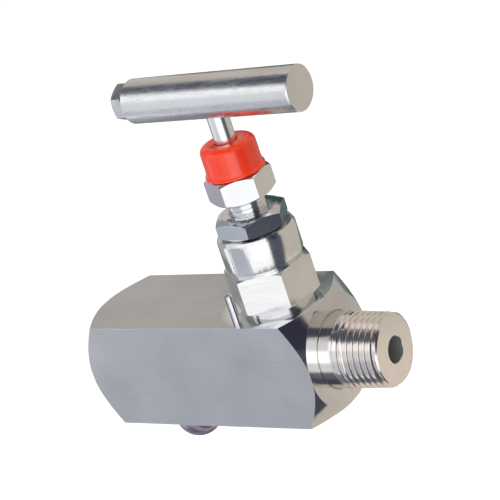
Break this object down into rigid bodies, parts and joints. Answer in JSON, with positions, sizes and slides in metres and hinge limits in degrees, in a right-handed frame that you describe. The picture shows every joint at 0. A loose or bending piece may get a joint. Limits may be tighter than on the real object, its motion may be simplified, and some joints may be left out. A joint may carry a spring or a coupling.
{
  "type": "gauge bleed valve",
  "caption": "Square bar needle valve with a tapered male inlet, female outlet port, T-bar stem, red dust cap and domed bleed plug underneath.",
  "frame": {"origin": "on the flow axis, where the inlet stub's plain neck ends and its thread taper starts, 13.6 mm from the stub's end", "axes": "+X along the flow axis out of the inlet stub, +Z along the stem towards the T-bar, +Y away from the pictured front face"},
  "size_m": [0.095, 0.032, 0.1131],
  "materials": {
    "body_steel": "ground bar faces, turned ends",
    "bonnet_steel": "turned and milled, fine grain",
    "polished_steel": "bright turned",
    "dark_steel": "bright, reflecting dark surroundings",
    "handle_steel": "satin drawn bar",
    "bolt_steel": "plain",
    "bleed_steel": "turned",
    "graphite": "matte",
    "packing": "waxy white",
    "red_cap": "semi-gloss soft plastic"
  },
  "bodies": {
    "valve": {"valve_body": "body_steel", "seat_ring": "polished_steel", "bonnet_seal": "graphite", "bonnet": "bonnet_steel", "lock_pin": "polished_steel", "packing_washer_low": "dark_steel", "packing_ring_low": "packing", "packing_ring_mid": "packing", "packing_ring_top": "packing", "packing_washer_top": "dark_steel", "gland_bush": "polished_steel", "gland_screw": "polished_steel", "lock_nut": "dark_steel", "wiper_ring": "graphite", "dust_cap": "red_cap", "bleed_seal": "graphite", "bleed_bushing": "polished_steel"},
    "needle": {"needle_tip": "polished_steel", "thrust_ball": "polished_steel"},
    "stem": {"stem": "polished_steel", "tip_retainer": "dark_steel", "handle_bar": "handle_steel", "handle_bolt": "bolt_steel"},
    "bleed_tip": {"bleed_ball": "polished_steel"},
    "bleed_plug": {"bleed_screw": "bleed_steel"}
  },
  "joints": [
    {"name": "stem_lift", "type": "slide", "parent": "valve", "child": "needle", "axis": [0, 0, 1], "range_m": [0, 0.00381]},
    {"name": "stem_turn", "type": "hinge", "parent": "needle", "child": "stem", "pos_m": [-0.019, 0, 0.0479], "axis": [0, 0, 1], "range_deg": [0, 1080]},
    {"name": "bleed_lift", "type": "slide", "parent": "valve", "child": "bleed_tip", "axis": [0, 0, -1], "range_m": [0, 0.002]},
    {"name": "bleed_turn", "type": "hinge", "parent": "bleed_tip", "child": "bleed_plug", "pos_m": [-0.0613, 0, -0.0195], "axis": [0, 0, -1], "range_deg": [0, 720]}
  ],
  "couplings": [
    {"joint": "stem_lift", "follows": "stem_turn", "m_per_rad": 0.00020213},
    {"joint": "bleed_lift", "follows": "bleed_turn", "m_per_rad": 0.00015915}
  ]
}
